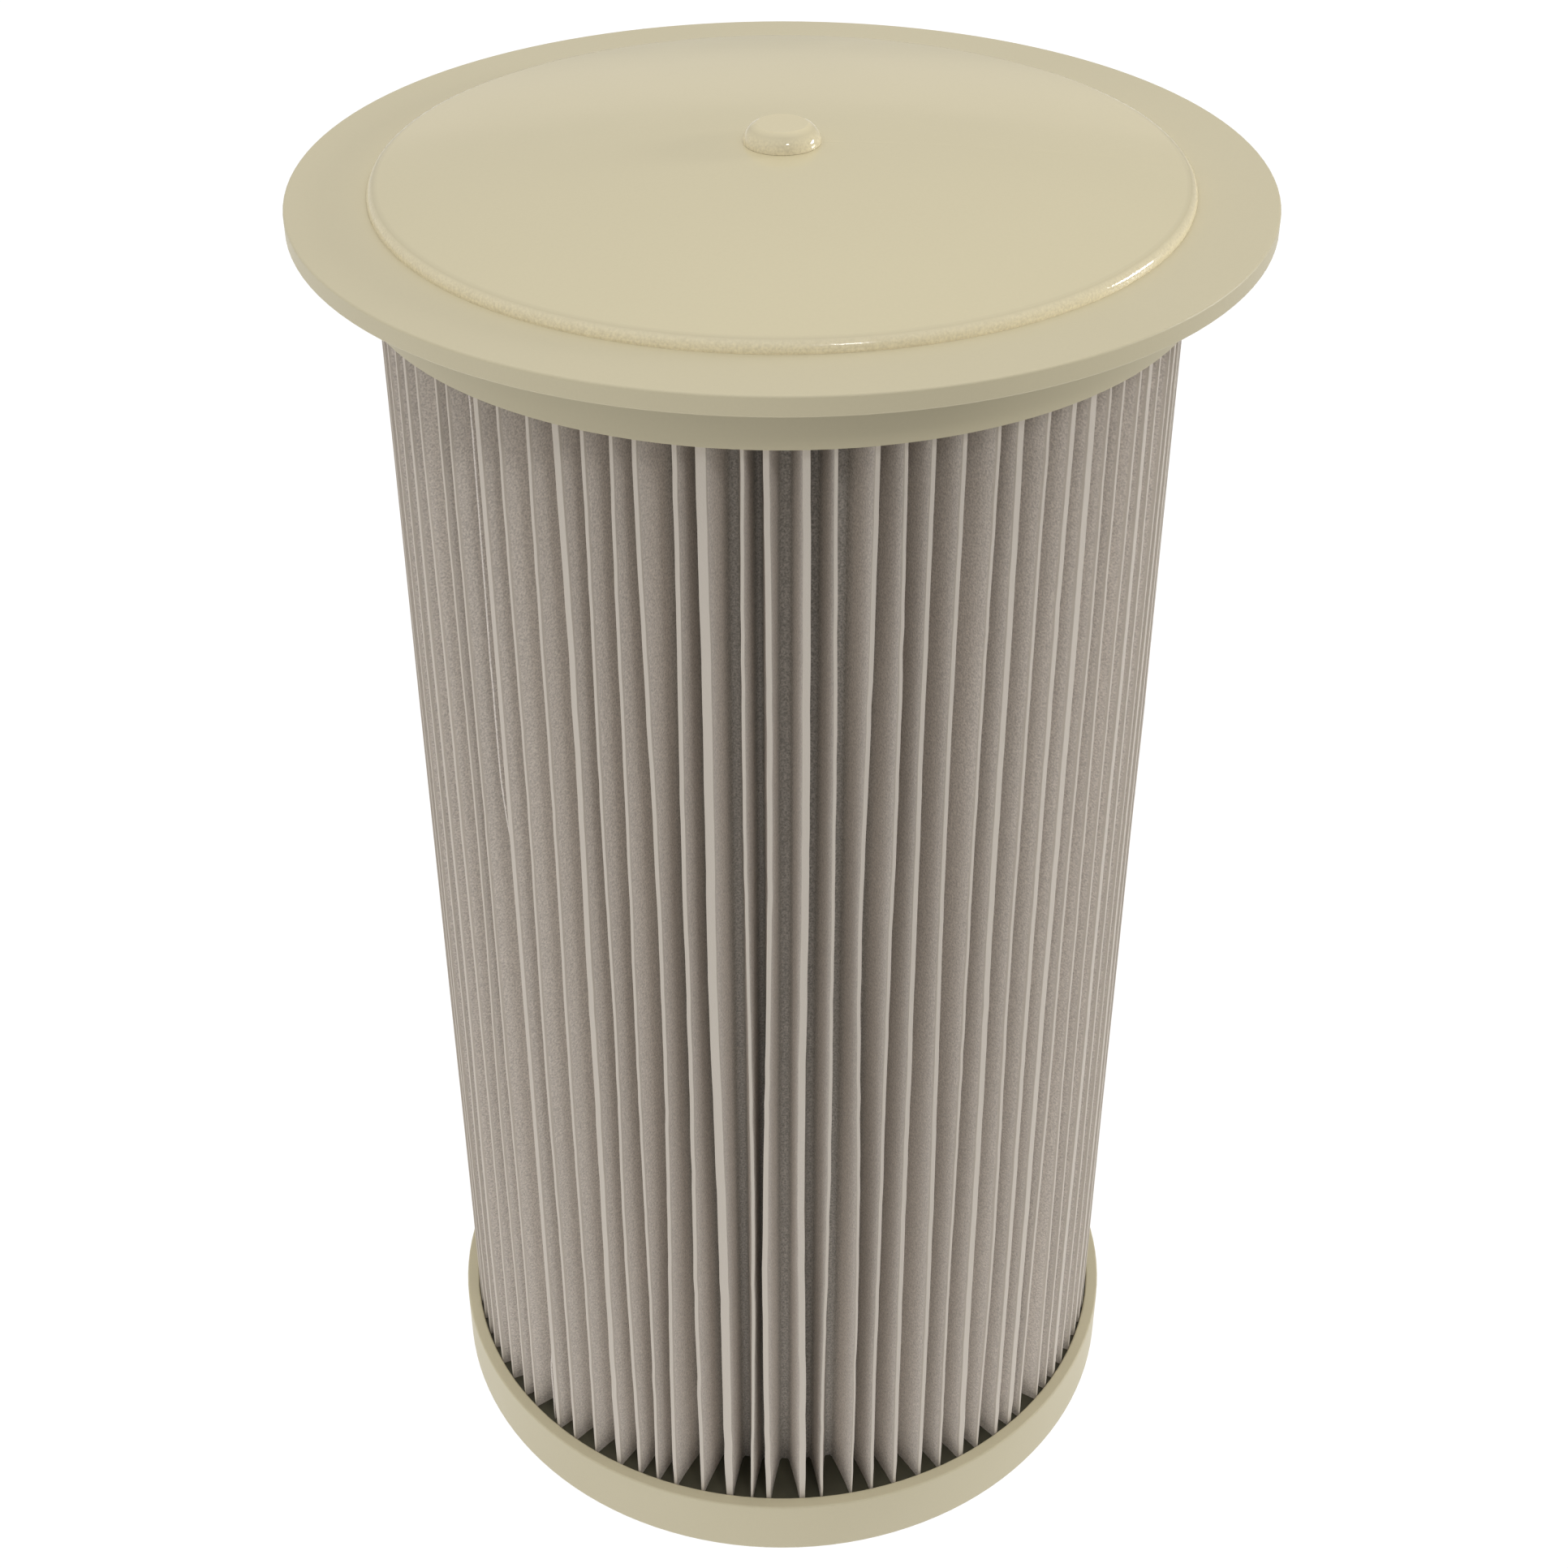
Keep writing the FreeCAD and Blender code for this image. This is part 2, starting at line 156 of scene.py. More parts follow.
# Painted shade in the cloth's valleys, from the pleats' roots out to the distance below:
VALLEY_PAINTED_SHADE_PALE = (0.67, 0.62, 0.56)
VALLEY_PAINTED_SHADE_FLECK = (0.345, 0.32, 0.285)
VALLEY_SHADE = 2.5 * MM
# Where the darker tip colour starts and where it is full, inside the tip radius:
TIP_DARK_START = 0.8 * MM
TIP_DARK_FULL = 0.3 * MM
COMPOUND_DARK = (0.062, 0.058, 0.036)
COMPOUND_PALE = (0.085, 0.08, 0.05)
RUBBER_DARK = (0.020, 0.020, 0.019)
RUBBER_PALE = (0.038, 0.037, 0.035)
MIX_FIRST, MIX_SECOND, MIX_RESULT = 6, 7, 2    # the colour sockets of a mix node


class Shader:
    """A node material on one Principled shader, with textures in the row's own coordinates."""

    def __init__(self, name):
        self.material = bpy.data.materials.new(name)
        self.material.use_nodes = True
        self.tree = self.material.node_tree
        self.surface = self.tree.nodes["Principled BSDF"]
        self.place = self.tree.nodes.new("ShaderNodeTexCoord").outputs["Object"]

    def set(self, **values):
        """Constant values on the shader's own sockets."""
        for name, value in values.items():
            self.surface.inputs[name.replace("_", " ")].default_value = value

    def link(self, output, socket):
        self.tree.links.new(output, self.surface.inputs[socket])

    def stretched(self, along):
        """The coordinates scaled along the axis only."""
        mapping = self.tree.nodes.new("ShaderNodeMapping")
        mapping.inputs["Scale"].default_value = (1.0, 1.0, along)
        self.tree.links.new(self.place, mapping.inputs["Vector"])
        return mapping.outputs["Vector"]

    def reach(self):
        """The distance from the axis."""
        flat = self.tree.nodes.new("ShaderNodeVectorMath")
        flat.operation = "MULTIPLY"
        flat.inputs[1].default_value = (1.0, 1.0, 0.0)
        length = self.tree.nodes.new("ShaderNodeVectorMath")
        length.operation = "LENGTH"
        self.tree.links.new(self.place, flat.inputs[0])
        self.tree.links.new(flat.outputs["Vector"], length.inputs[0])
        return length.outputs["Value"]

    def along(self, direction):
        """The distance in this direction."""
        product = self.tree.nodes.new("ShaderNodeVectorMath")
        product.operation = "DOT_PRODUCT"
        product.inputs[1].default_value = direction
        self.tree.links.new(self.place, product.inputs[0])
        return product.outputs["Value"]

    def noise(self, scale, detail=2.0, roughness=0.5, place=None):
        """Fractal noise, from 0 to 1."""
        node = self.tree.nodes.new("ShaderNodeTexNoise")
        node.inputs["Scale"].default_value = scale
        node.inputs["Detail"].default_value = detail
        node.inputs["Roughness"].default_value = roughness
        self.tree.links.new(place or self.place, node.inputs["Vector"])
        return node.outputs["Fac"]

    def spread(self, source, low, high, out_low=0.0, out_high=1.0):
        """Maps low..high of a texture to out_low..out_high."""
        node = self.tree.nodes.new("ShaderNodeMapRange")
        node.inputs["From Min"].default_value = low
        node.inputs["From Max"].default_value = high
        node.inputs["To Min"].default_value = out_low
        node.inputs["To Max"].default_value = out_high
        self.tree.links.new(source, node.inputs["Value"])
        return node.outputs["Result"]

    def blend(self, share, first, second):
        """A colour from first to second as the share goes from 0 to 1. Either may be an output."""
        node = self.tree.nodes.new("ShaderNodeMix")
        node.data_type = "RGBA"
        self.tree.links.new(share, node.inputs["Factor"])
        for socket, colour in ((MIX_FIRST, first), (MIX_SECOND, second)):
            if isinstance(colour, tuple):
                node.inputs[socket].default_value = (*colour, 1.0)
            else:
                self.tree.links.new(colour, node.inputs[socket])
        return node.outputs[MIX_RESULT]

    def bump(self, heights, strength, distance):
        """Adds a bump from a height texture. A second call goes on top of the first."""
        node = self.tree.nodes.new("ShaderNodeBump")
        node.inputs["Strength"].default_value = strength
        node.inputs["Distance"].default_value = distance
        self.tree.links.new(heights, node.inputs["Height"])
        before = self.surface.inputs["Normal"].links
        if before:
            self.tree.links.new(before[0].from_socket, node.inputs["Normal"])
        self.link(node.outputs["Normal"], "Normal")


def moulded_plastic(name, pale, deep, rough, speckle, grain, edge=None):
    """Moulded plastic: soft drifts of colour, a fine speckle and a faint grain.

    An edge is a colour of painted shade and the piece's radius. Near that radius the plastic turns to that
    colour, a painted-shade ring, and then to a coarser, pale speckle that is painted light on the edge's
    base.
    """
    shader = Shader(name)
    drift = shader.spread(shader.noise(14.0, 3.0), 0.2, 0.8)
    colour = shader.blend(drift, pale, deep)
    fine = shader.spread(shader.noise(2200.0, 1.0), 0.35, 0.75, 0.0, speckle)
    darker = tuple(channel * SPECKLE_SHADE for channel in deep)
    colour = shader.blend(fine, colour, darker)
    if edge:
        shade, rim = edge
        # Painted shade just inside the rim, then painted light as a pale, coarse speckle out to the rim.
        painted_light_grains = shader.blend(shader.spread(shader.noise(2600.0, 1.0), 0.3, 0.7), EDGE_PAINTED_LIGHT_DEEP, EDGE_PAINTED_LIGHT_PALE)
        turned = shader.spread(shader.reach(), rim - EDGE_PAINTED_SHADE_START, rim - EDGE_PAINTED_LIGHT_START)
        colour = shader.blend(turned, colour, shade)
        painted_light_share = shader.spread(shader.reach(), rim - EDGE_PAINTED_LIGHT_START, rim)
        colour = shader.blend(painted_light_share, colour, painted_light_grains)
    shader.link(colour, "Base Color")
    shader.link(shader.spread(shader.noise(60.0, 2.0), 0.3, 0.7, rough - 0.03, rough + 0.03), "Roughness")
    shader.bump(shader.noise(1500.0, 1.0), grain, 0.03 * MM)
    return shader.material


def filter_cloth():
    """Spun-bonded cloth: matt, with a felt of fine fibres, faint upright streaks and a darker, even colour at
    the fold tips.

    It is painted darker and more flecked in the valleys: painted shade.
    """
    shader = Shader("filter_cloth")
    streaks = shader.spread(shader.noise(60.0, 3.0, 0.5, shader.stretched(0.12)), 0.3, 0.7)
    colour = shader.blend(streaks, CLOTH_PALE, CLOTH_STREAK)
    felt = shader.noise(2900.0, 1.0, 0.6)
    fibres = shader.noise(900.0, 3.0, 0.6, shader.stretched(0.35))
    specks = shader.spread(felt, 0.3, 0.7)
    colour = shader.blend(specks, colour, CLOTH_FLECK)
    # Painted shade: darker, more flecked cloth near the pleats' roots.
    shaded = shader.blend(specks, VALLEY_PAINTED_SHADE_PALE, VALLEY_PAINTED_SHADE_FLECK)
    clear_of_painted_shade = shader.spread(shader.reach(), ROOT_RADIUS, ROOT_RADIUS + VALLEY_SHADE)
    colour = shader.blend(clear_of_painted_shade, shaded, colour)
    # The cloth turns to a darker, even colour towards the fold tips.
    tip_darkening = shader.spread(shader.reach(), TIP_RADIUS - TIP_DARK_START, TIP_RADIUS - TIP_DARK_FULL)
    shader.link(shader.blend(tip_darkening, colour, CLOTH_TIP_DARK), "Base Color")
    shader.set(Roughness=0.92, Specular_IOR_Level=0.15, Sheen_Weight=0.05, Sheen_Roughness=0.6)
    shader.bump(felt, 0.45, 0.10 * MM)
    shader.bump(fibres, 0.35, 0.15 * MM)
    return shader.material


def potting_compound():
    """Cast urethane: dark olive, a little glossy, with pale dust."""
    shader = Shader("potting_compound")
    cloud = shader.spread(shader.noise(120.0, 4.0), 0.35, 0.7)
    colour = shader.blend(cloud, COMPOUND_DARK, COMPOUND_PALE)
    shader.link(colour, "Base Color")
    shader.link(shader.spread(shader.noise(400.0, 3.0), 0.3, 0.7, 0.42, 0.62), "Roughness")
    shader.bump(shader.noise(500.0, 3.0), 0.25, 0.15 * MM)
    return shader.material


def seal_rubber():
    """Moulded rubber: near black and matt."""
    shader = Shader("seal_rubber")
    bloom = shader.spread(shader.noise(200.0, 4.0), 0.4, 0.75)
    shader.link(shader.blend(bloom, RUBBER_DARK, RUBBER_PALE), "Base Color")
    shader.link(shader.spread(bloom, 0.0, 1.0, 0.55, 0.75), "Roughness")
    shader.bump(shader.noise(1800.0, 2.0), 0.3, 0.05 * MM)
    return shader.material


cap_plastic = moulded_plastic("cap_plastic", CREAM, CREAM_DEEP, rough=0.48, speckle=0.05, grain=0.06)
# The plate and the plug carry painted shade and painted light on their rounded edges.
plate_plastic = moulded_plastic("plate_plastic", PLATE_CREAM, PLATE_CREAM_DEEP, rough=0.14, speckle=0.05,
                                grain=0.02, edge=(PLATE_EDGE_PAINTED_SHADE, PLATE_RADIUS))
plug_plastic = moulded_plastic("plug_plastic", PLUG_CREAM, PLUG_CREAM_DEEP, rough=0.06, speckle=0.05,
                               grain=0.02, edge=(PLUG_EDGE_PAINTED_SHADE, PLUG_RADIUS))
core_plastic = moulded_plastic("core_plastic", CORE_WHITE, CORE_WHITE_DEEP, rough=0.5, speckle=0.1,
                               grain=0.15)
net_plastic = moulded_plastic("net_plastic", NET_WHITE, NET_WHITE_DEEP, rough=0.5, speckle=0.1,
                              grain=0.15)
seam_adhesive = moulded_plastic("seam_strip", ADHESIVE, ADHESIVE_DEEP, rough=0.45, speckle=0.05,
                                grain=0.1)
cloth = filter_cloth()
compound = potting_compound()
rubber = seal_rubber()

for node, material in {
    "top_end_cap": cap_plastic,
    "bottom_end_cap": cap_plastic,
    "cover_plate": plate_plastic,
    "centre_plug": plug_plastic,
    "core_section_lower": core_plastic,
    "core_section_middle": core_plastic,
    "core_section_upper": core_plastic,
    "core_coupler_lower": core_plastic,
    "core_coupler_upper": core_plastic,
    "outlet_collar": core_plastic,
    "media_seam": seam_adhesive,
    "flange_seal": rubber,
    "outlet_seal": rubber,
}.items():
    nodes[node].data.materials.clear()
    nodes[node].data.materials.append(material)


# ---------------------------------------------------------------- the pleated cloth

PLEATS = 88
SEAM_PLEAT = 0
SHORT_PLEAT = PLEATS - 1
ROWS = 56
CLOTH_THICKNESS = 0.4 * MM
VALLEY_DEPTH = 0.7 * MM
VALLEY_CORNER = 0.35 * MM
TIP_ROUNDING = 0.06 * MM
SEAM_GAP = math.radians(2.4)
GAP_SCATTER = 0.15
BROAD_SHARE = 0.35
LEAST_GAP = 0.74
ROOT_SHARE = 0.62
FLANK_CURVE = 1.4
FLANK_SPOTS = (0.0, 0.3, 0.65)
PINCH_START = 14.0 * MM
PINCH_HEIGHT = 9.0 * MM
PINCH = 0.25
WAVES = ((0.5, 1.0), (1.1, 0.6), (2.3, 0.25))
TIP_WANDER = 0.42 * MM
MOST_WANDER = 0.8 * MM
TIP_SHAKE = 0.035 * MM
ROOT_WANDER = 0.16 * MM
TIP_INSET = 0.05 * MM
TIP_WAVE = 0.10 * MM
SLIM_TIP = (0.25, 0.38)
BROAD_TIP = (0.45, 0.75)
TIP_DRIFT = 0.03 * MM
LEAST_TIP = 0.03 * MM
SEAM_TIP = 0.50 * MM
SHORT_TIP = 0.20 * MM
SHORT_DROP = 1.0 * MM
SHORT_SINK = 3.6 * MM
SHORT_TURN = math.radians(0.9)
SINK_LOW, SINK_IN = 0.08, 0.12
SINK_HIGH, SINK_OUT = 0.68, 0.2
TIP_CREASE = 28.0

rng = np.random.default_rng(11)


def smooth_step(share):
    """0 below 0, 1 above 1 and an S between."""
    share = np.clip(share, 0.0, 1.0)
    return share * share * (3.0 - 2.0 * share)


def wander(share, size):
    """A slow drift along the height for every pleat: a few waves with their own phases."""
    drift = np.zeros((PLEATS, len(share)))
    for waves, part in WAVES:
        phase = rng.uniform(0.0, FULL_TURN, (PLEATS, 1))
        height = rng.normal(0.0, size * part, (PLEATS, 1))
        drift += height * np.sin(FULL_TURN * waves * share[None, :] + phase)
    return drift


def pleat_angles():
    """The angle of every pleat: uneven gaps that add up to a full turn, with a close pair at the seam."""
    gaps = 1.0 + np.clip(rng.normal(0.0, GAP_SCATTER, PLEATS - 1), LEAST_GAP - 1.0, 1.0 - LEAST_GAP)
    gaps *= (FULL_TURN - SEAM_GAP) / gaps.sum()
    return SEAM_ANGLE + np.concatenate([[0.0], np.cumsum(gaps)])


def ring_point(radius, angle, sideways):
    """Points at this radius, moved sideways along the ring."""
    turned = angle + sideways / radius
    return np.stack([radius * np.cos(turned), radius * np.sin(turned)], axis=-1)


def cloth_rings(share):
    """The outer and the inner contour of the cloth at every height, as (row, pleat, point, 2)."""
    angles = pleat_angles()[:, None]
    aside = np.clip(wander(share, TIP_WANDER), -MOST_WANDER, MOST_WANDER)
    tip_turn = (aside + rng.normal(0.0, TIP_SHAKE, (PLEATS, len(share)))) / TIP_RADIUS
    root_turn = wander(share, ROOT_WANDER) / ROOT_RADIUS
    tip_radius = TIP_RADIUS - TIP_INSET - np.abs(wander(share, TIP_WAVE))
    slim, broad = rng.uniform(*SLIM_TIP, (PLEATS, 1)), rng.uniform(*BROAD_TIP, (PLEATS, 1))
    tip_half = np.where(rng.random((PLEATS, 1)) < BROAD_SHARE, broad, slim) * MM + wander(share, TIP_DRIFT)
    tip_turn[SEAM_PLEAT] = 0.0
    root_turn[SEAM_PLEAT] = 0.0
    tip_half[SEAM_PLEAT] = SEAM_TIP
    tip_half[SHORT_PLEAT] = SHORT_TIP
    height = (cloth_high.z - cloth_low.z) * share
    tip_half = tip_half * (1.0 - PINCH * smooth_step((PINCH_START - height) / PINCH_HEIGHT))
    sink = smooth_step((share - SINK_LOW) / SINK_IN) * smooth_step((SINK_HIGH - share) / SINK_OUT)
    tip_radius[SHORT_PLEAT] -= SHORT_DROP + SHORT_SINK * sink
    tip_turn[SHORT_PLEAT] += SHORT_TURN * sink
    tip = angles + tip_turn
    root = angles + root_turn
    half_gap = (np.roll(root, -1, axis=0) - root) % FULL_TURN / 2.0
    valley = root + half_gap
    falling_root = half_gap * ROOT_RADIUS * ROOT_SHARE
    rising_root = np.roll(falling_root, 1, axis=0)
    valley_half = half_gap * ROOT_RADIUS * (1.0 - ROOT_SHARE)

    def fin(spot, half):
        """A point of the fin: the spot runs from its root, 0, to its tip, 1."""
        radius = ROOT_RADIUS + (tip_radius - ROOT_RADIUS) * spot
        return ring_point(radius, root + (tip - root) * spot, half)

    def flank(spot, root_half):
        """How far the flank stands from the fin's middle."""
        return tip_half + (root_half - tip_half) * (1.0 - spot) ** FLANK_CURVE

    def valley_points(thickness):
        """The two corners of the valley's flat floor."""
        aside = valley_half + thickness - VALLEY_CORNER
        depth = VALLEY_DEPTH + thickness
        return [ring_point(ROOT_RADIUS - depth, valley, side * aside) for side in (-1.0, 1.0)]

    round_spot = 1.0 - TIP_ROUNDING / (TIP_RADIUS - ROOT_RADIUS)
    rising = [fin(spot, -flank(spot, rising_root)) for spot in FLANK_SPOTS]
    rising += [fin(round_spot, -tip_half), fin(1.0, TIP_ROUNDING - tip_half)]
    falling = [fin(1.0, tip_half - TIP_ROUNDING), fin(round_spot, tip_half)]
    falling += [fin(spot, flank(spot, falling_root)) for spot in reversed(FLANK_SPOTS)]
    outer = rising + falling + valley_points(0.0)
    inside_tip = 1.0 - CLOTH_THICKNESS / (TIP_RADIUS - ROOT_RADIUS)
    narrow = np.maximum(tip_half - CLOTH_THICKNESS, LEAST_TIP)
    inner = [fin(0.0, CLOTH_THICKNESS - rising_root), fin(inside_tip, -narrow)]
    inner += [fin(inside_tip, narrow), fin(0.0, falling_root - CLOTH_THICKNESS)]
    inner += valley_points(CLOTH_THICKNESS)
    return [np.stack(ring, axis=0).transpose(2, 1, 0, 3) for ring in (outer, inner)]


def cloth_mesh():
    """One closed corrugated wall: an outer face, an inner face and the cut edges at its two ends."""
    share = np.linspace(0.0, 1.0, ROWS)
    heights = cloth_low.z + (cloth_high.z - cloth_low.z) * share
    points, faces, firsts, sizes = [], [], [], []
    for ring in cloth_rings(share):
        around = ring.shape[1] * ring.shape[2]
        firsts.append(sum(len(block) for block in points))
        sizes.append(ring.shape[2])
        flat = ring.reshape(ROWS, around, 2)
        levels = np.broadcast_to(heights[:, None, None], (ROWS, around, 1))
        points.append(np.concatenate([flat, levels], axis=2).reshape(-1, 3))
        outward = len(firsts) == 1
        index = firsts[-1] + np.arange(ROWS * around).reshape(ROWS, around)
        ahead = np.roll(index, -1, axis=1)
        corners = [index[:-1], ahead[:-1], ahead[1:], index[1:]]
        quads = np.stack(corners if outward else corners[::-1], axis=-1).reshape(-1, 4)
        faces += quads.tolist()
    for row, upward in ((0, False), (ROWS - 1, True)):
        outer_first = firsts[0] + row * PLEATS * sizes[0]
        inner_first = firsts[1] + row * PLEATS * sizes[1]
        for pleat in range(PLEATS):
            following = (pleat + 1) % PLEATS
            outer = [outer_first + pleat * sizes[0] + k for k in range(sizes[0])]
            outer.append(outer_first + following * sizes[0])
            inner = [inner_first + pleat * sizes[1] + k for k in range(sizes[1])]
            inner.append(inner_first + following * sizes[1])
            loop = outer + inner[::-1]
            faces.append(loop if upward else loop[::-1])
    return new_object("pleated_cloth", np.concatenate(points), faces)


def crease_tips(piece):
    """Only the folds at the tips are crisp: the valleys are soft."""
    mark_sharp(piece, TIP_CREASE)
    mesh = piece.data
    places = np.empty(3 * len(mesh.vertices))
    mesh.vertices.foreach_get("co", places)
    reach = np.hypot(*places.reshape(-1, 3)[:, :2].T)
    ends = np.empty(2 * len(mesh.edges), int)
    mesh.edges.foreach_get("vertices", ends)
    sharp = np.empty(len(mesh.edges), bool)
    marks = mesh.attributes["sharp_edge"].data
    marks.foreach_get("value", sharp)
    marks.foreach_set("value", sharp & (reach[ends.reshape(-1, 2)].min(axis=1) > ROOT_RADIUS + MM))


cloth_piece = cloth_mesh()
crease_tips(cloth_piece)
stands_for(cloth_piece, cloth, "filter_cloth", "pleated_media")


# ---------------------------------------------------------------- the cast compound in both caps

RING_STEPS = 360
RING_BANDS = 12
FREE_DIP = 0.25 * MM
FREE_WAVE = 0.06 * MM
WAVES_ROUND = (3, 7, 13, 29)
SAME_LEVEL = 0.001 * MM
RING_CREASE = 40.0


def compound_ring(name, node, visible_up):
    """A cast ring whose free surface is a little uneven."""
    low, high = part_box(node)
    outer, inner = radius_of(node), radius_of("core_section_lower")
    free, back = (high.z, low.z) if visible_up else (low.z, high.z)
    sign = 1.0 if visible_up else -1.0
    waves = np.random.default_rng(5 if visible_up else 6)
    profile = [(inner, back), (outer, back)]
    profile += [(outer + (inner - outer) * band / RING_BANDS, free) for band in range(RING_BANDS + 1)]
    ring = lathe(name, profile, RING_STEPS)
    phases = waves.uniform(0.0, FULL_TURN, len(WAVES_ROUND))
    for vertex in ring.data.vertices:
        if abs(vertex.co.z - free) < SAME_LEVEL:
            turn = math.atan2(vertex.co.y, vertex.co.x)
            dip = sum(math.sin(n * turn + p) for n, p in zip(WAVES_ROUND, phases))
            vertex.co.z -= sign * (FREE_DIP + FREE_WAVE * dip)
    if not visible_up:
        ring.data.flip_normals()
    return ring


for name, node, visible_up in (("bottom_compound", "bottom_potting", True),
                               ("top_compound", "top_potting", False)):
    ring = compound_ring(name, node, visible_up)
    mark_sharp(ring, RING_CREASE)
    stands_for(ring, compound, "potting_compound", node)


# ---------------------------------------------------------------- the support net

STRANDS = 54
STRAND_STEPS = 40
STRAND_TURN = math.radians(150.0)
STRAND = 0.28 * MM
STRAND_SIDES = ((-0.85, 0.0), (0.0, -1.3), (0.85, 0.0), (0.0, 1.3))
INNER_LAYER = 1.15


def net_mesh():
    """Two layers of slanting four-sided strands, crossing in diamonds, as one net sleeve."""
    outer = radius_of("support_net")
    sides = len(STRAND_SIDES)
    points, faces = [], []
    for direction, radius in ((1.0, outer - STRAND), (-1.0, outer - STRAND * INNER_LAYER)):
        for strand in range(STRANDS):
            first = len(points)
            for step in range(STRAND_STEPS + 1):
                share = step / STRAND_STEPS
                angle = FULL_TURN * strand / STRANDS + direction * STRAND_TURN * share
                height = net_low.z + STRAND + (net_high.z - net_low.z - 2.0 * STRAND) * share
                for out, along in STRAND_SIDES:
                    reach = radius + out * STRAND
                    aside = angle + along * STRAND / radius
                    points.append((reach * math.cos(aside), reach * math.sin(aside), height))
            for step in range(STRAND_STEPS):
                for side in range(sides):
                    a = first + step * sides + side
                    b = first + step * sides + (side + 1) % sides
                    faces.append([a, b, b + sides, a + sides])
            faces.append([first + side for side in reversed(range(sides))])
            end = first + STRAND_STEPS * sides
            faces.append([end + side for side in range(sides)])
    return new_object("net_sleeve", points, faces)


net_piece = net_mesh()
stands_for(net_piece, net_plastic, "net_plastic", "support_net")


# ---------------------------------------------------------------- floor, light and camera

TOP_CENTRE = (0.0, 0.0, FLANGE_TOP)
FLOOR_HALF = 20.0
FLOOR_LEVEL = -0.1 * MM
FLOOR_PALE = (0.04, 0.04, 0.04)
FLOOR_DEEP = (0.03, 0.03, 0.03)
FLOOR_FRONT = (0.79, 0.79, 0.79)
FLOOR_RIGHT = 0.30
FRONT_WAY = (0.0, -1.0, 0.0)
FRONT_RAMP = (0.10, 0.60)
RIGHT_WAY = (1.0, -0.26, 0.0)
RIGHT_RAMP = (0.22, 0.80)
SKY_LEAN = (-0.22, 0.12, -0.45)
SKY_SWELL = (0.30, 0.35, 1.97)
LENS_MM = 55.0
SENSOR_MM = 36.0
CAMERA_PLACE = (0.004, -4.681, 1.803)    # in flange radii from the flange's centre
CAMERA_TILT = 35.28
KEY_PLACE = (1.1, 0.25, FLANGE_TOP + 0.17)
KEY_SIZE = (0.30, 0.18)
KEY_POWER = 0.53
KEY_BEAM = 57.0
WINDOW_PLACE = (0.25, -0.72, FLANGE_TOP + 0.62)
WINDOW_SIZE = (0.12, 0.12)
WINDOW_POWER = 1.0
BACK_PLACE = (0.0, 1.5, FLANGE_TOP + 0.30)
BACK_SIZE = (1.2, 0.24)
BACK_POWER = 0.24
BACK_COLOUR = (1.0, 0.88, 0.70)
WHITE = (1.0, 1.0, 1.0)
FULL_BEAM = 180.0


def floor():
    """A wide floor just under the cartridge. It glows white, and less so out on the right and in front."""
    corners = [(x * FLOOR_HALF, y * FLOOR_HALF, FLOOR_LEVEL) for x, y in ((-1, -1), (1, -1), (1, 1), (-1, 1))]
    plane = new_object("floor", corners, [[0, 1, 2, 3]], smooth=False)
    shader = Shader("floor_paint")
    drift = shader.spread(shader.noise(1.5, 2.0), 0.3, 0.7)
    shader.link(shader.blend(drift, FLOOR_PALE, FLOOR_DEEP), "Base Color")
    shader.set(Roughness=1.0)
    front = shader.spread(shader.along(FRONT_WAY), *FRONT_RAMP)
    shader.link(shader.blend(front, WHITE, FLOOR_FRONT), "Emission Color")
    right = shader.spread(shader.along(RIGHT_WAY), *RIGHT_RAMP, 1.0, FLOOR_RIGHT)
    shader.link(right, "Emission Strength")
    plane.data.materials.append(shader.material)


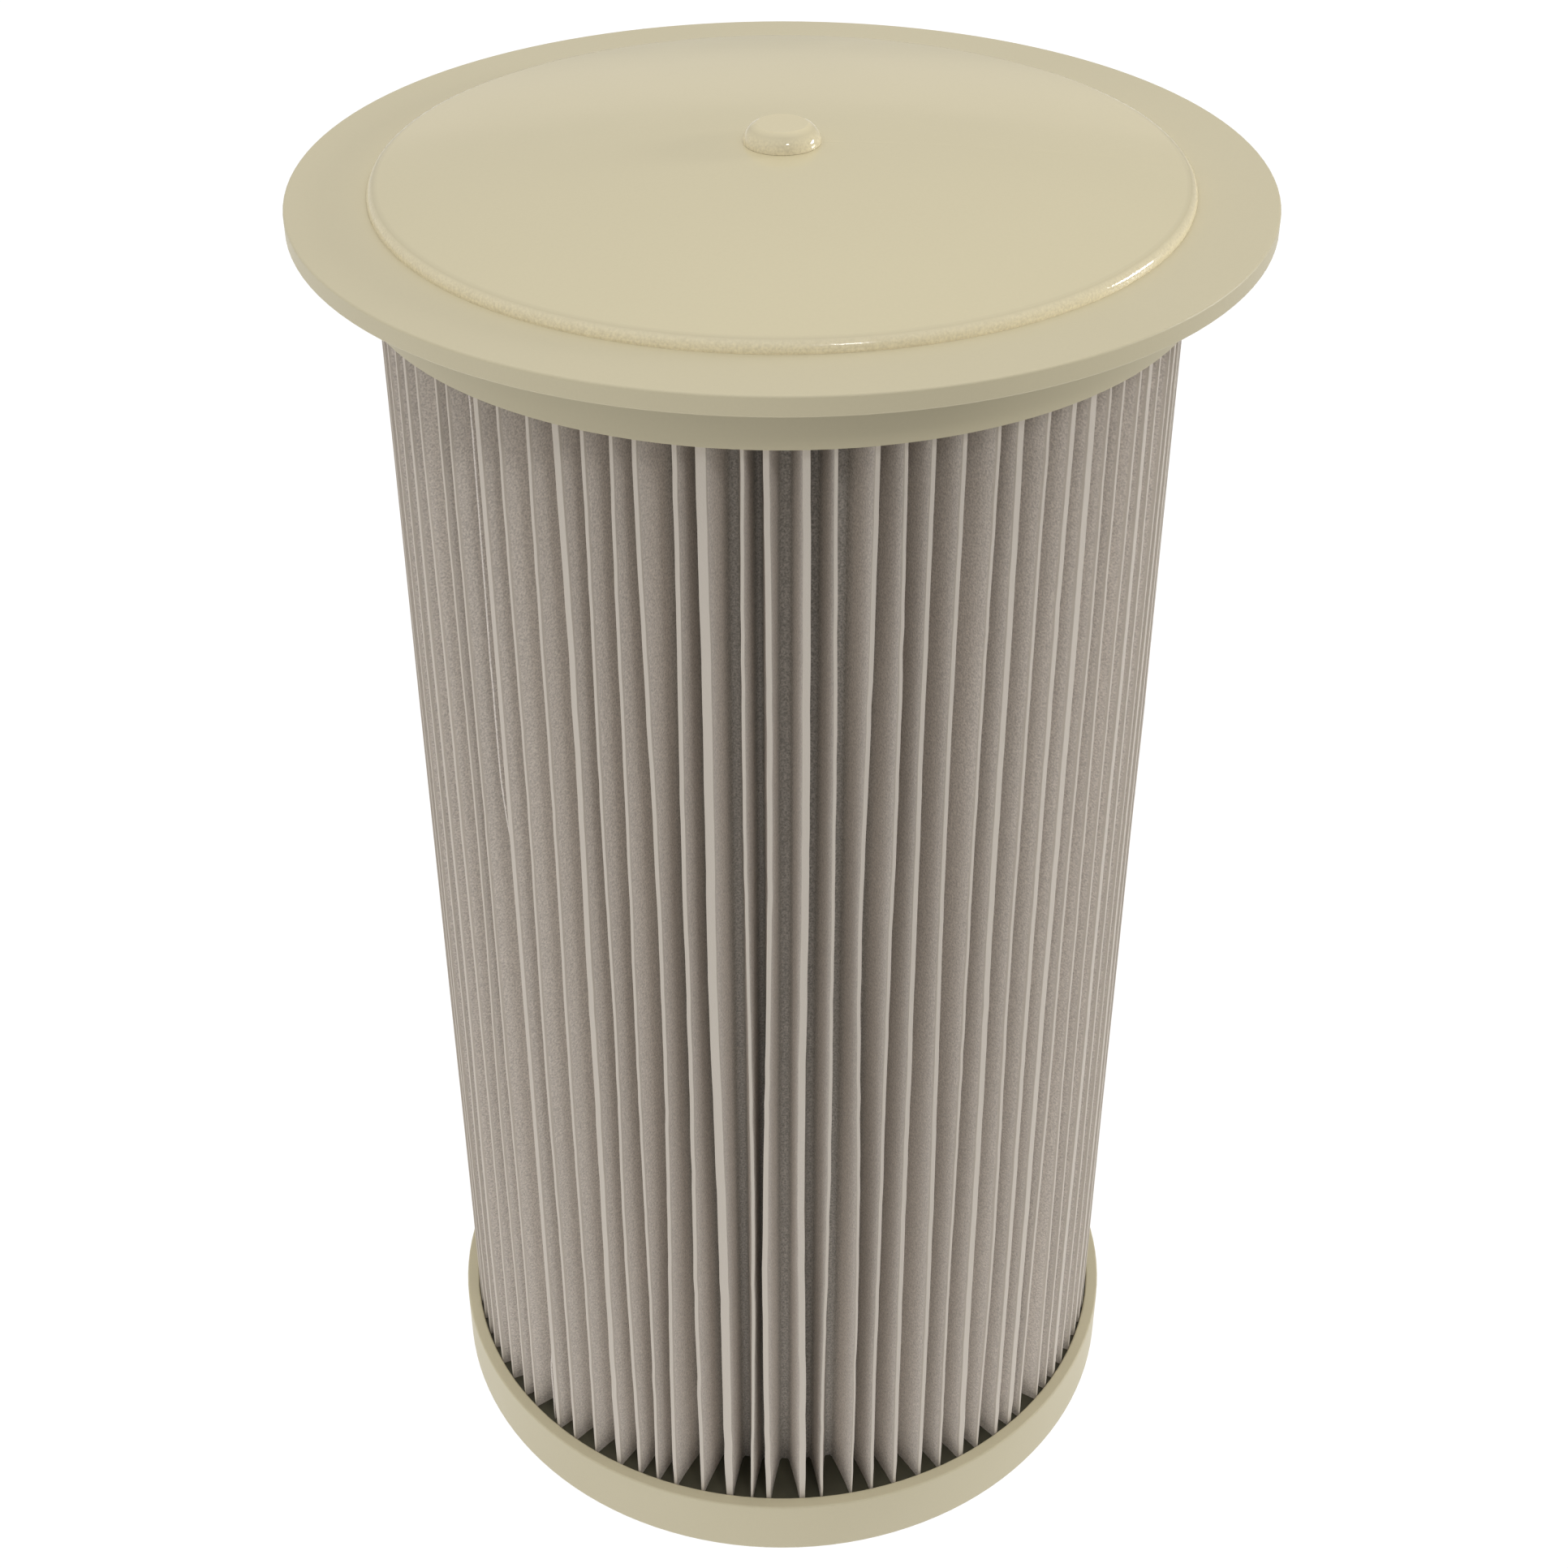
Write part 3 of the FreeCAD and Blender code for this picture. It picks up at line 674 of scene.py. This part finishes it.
def soft_light(name, place, size, power, colour=WHITE, beam=FULL_BEAM):
    """A rectangular area light that looks at the flange's centre. The beam is its full angle in degrees."""
    lamp = bpy.data.lights.new(name, "AREA")
    lamp.shape = "RECTANGLE"
    lamp.size, lamp.size_y = size
    lamp.energy = power
    lamp.color = colour
    lamp.spread = math.radians(beam)
    light = bpy.data.objects.new(name, lamp)
    light.location = place
    light.rotation_euler = (Vector(TOP_CENTRE) - Vector(place)).to_track_quat("-Z", "Y").to_euler()
    bpy.context.scene.collection.objects.link(light)


def sky():
    """A plain studio surround, brightest overhead and dimmest low on the right.

    Its strength is the direction times SKY_LEAN plus the direction's squares times SKY_SWELL.
    """
    world = bpy.data.worlds.new("studio")
    bpy.context.scene.world = world
    world.use_nodes = True
    tree = world.node_tree
    place = tree.nodes.new("ShaderNodeTexCoord").outputs["Generated"]

    def vector_node(operation):
        node = tree.nodes.new("ShaderNodeVectorMath")
        node.operation = operation
        return node

    lean, squares, swell = vector_node("DOT_PRODUCT"), vector_node("MULTIPLY"), vector_node("DOT_PRODUCT")
    lean.inputs[1].default_value = SKY_LEAN
    swell.inputs[1].default_value = SKY_SWELL
    tree.links.new(place, lean.inputs[0])
    for socket in squares.inputs[:2]:
        tree.links.new(place, socket)
    tree.links.new(squares.outputs["Vector"], swell.inputs[0])
    total = tree.nodes.new("ShaderNodeMath")
    total.operation = "ADD"
    tree.links.new(lean.outputs["Value"], total.inputs[0])
    tree.links.new(swell.outputs["Value"], total.inputs[1])
    surround = tree.nodes["Background"]
    surround.inputs["Color"].default_value = (*WHITE, 1.0)
    tree.links.new(total.outputs["Value"], surround.inputs["Strength"])


def camera():
    """The camera stands in front of the cartridge and looks down at it."""
    lens = bpy.data.cameras.new("camera")
    lens.lens = LENS_MM
    lens.sensor_width = SENSOR_MM
    lens.clip_start = 10.0 * MM
    view = bpy.data.objects.new("camera", lens)
    aside, back, up = (part * FLANGE_RADIUS for part in CAMERA_PLACE)
    view.location = (aside, back, FLANGE_TOP + up)
    view.rotation_euler = (math.radians(90.0 - CAMERA_TILT), 0.0, 0.0)
    bpy.context.scene.collection.objects.link(view)
    bpy.context.scene.camera = view


floor()
sky()
soft_light("key", KEY_PLACE, KEY_SIZE, KEY_POWER, beam=KEY_BEAM)
soft_light("window", WINDOW_PLACE, WINDOW_SIZE, WINDOW_POWER)
soft_light("back", BACK_PLACE, BACK_SIZE, BACK_POWER, BACK_COLOUR)
camera()
bpy.context.scene.view_settings.view_transform = "Standard"
